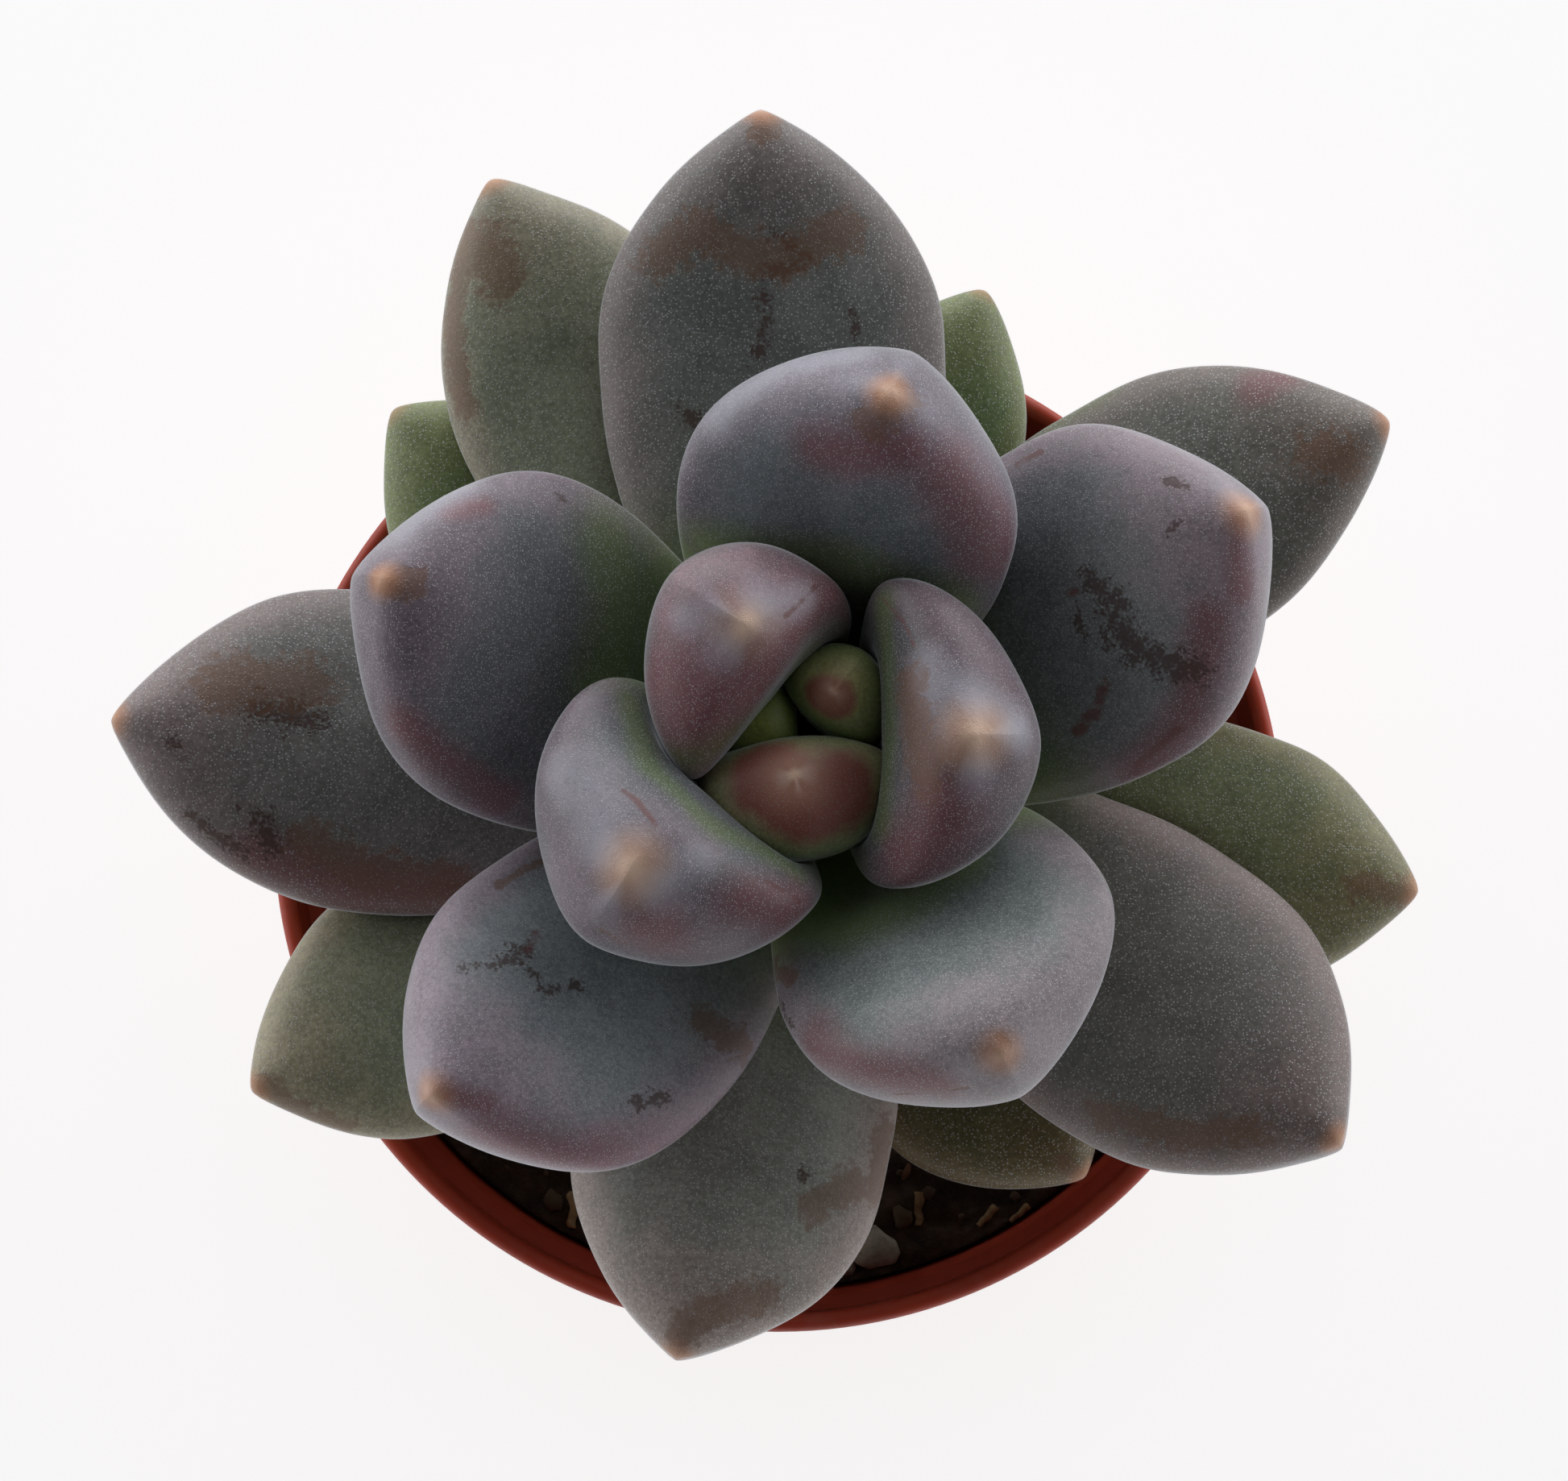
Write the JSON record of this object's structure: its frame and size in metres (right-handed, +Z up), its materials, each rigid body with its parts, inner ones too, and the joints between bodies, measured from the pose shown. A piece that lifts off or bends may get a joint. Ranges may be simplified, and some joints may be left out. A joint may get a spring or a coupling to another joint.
{
  "type": "potted echeveria",
  "caption": "small rosette succulent with plump, pointed leaves in a spiral on a short stem, growing in soil in a small round nursery pot with a flat base",
  "frame": {"origin": "centre of the pot's flat underside", "axes": "+Z up along the pot's axis; seen from above with +Y away from the viewer, +X is to the right"},
  "size_m": [0.0688, 0.0651, 0.0787],
  "materials": {
    "pot": "satin",
    "soil": "matte",
    "stem": "matte",
    "leaf": "matte, with a waxy bloom"
  },
  "bodies": {
    "root": {"pot": "pot", "soil": "soil", "stem": "stem", "leaf_01": "leaf", "leaf_02": "leaf", "leaf_03": "leaf", "leaf_04": "leaf", "leaf_05": "leaf", "leaf_06": "leaf", "leaf_07": "leaf", "leaf_08": "leaf", "leaf_09": "leaf", "leaf_10": "leaf", "leaf_11": "leaf", "leaf_12": "leaf", "leaf_13": "leaf", "leaf_14": "leaf", "leaf_15": "leaf", "leaf_16": "leaf", "leaf_17": "leaf", "leaf_18": "leaf", "leaf_19": "leaf", "leaf_20": "leaf", "leaf_21": "leaf", "leaf_22": "leaf"}
  },
  "joints": []
}
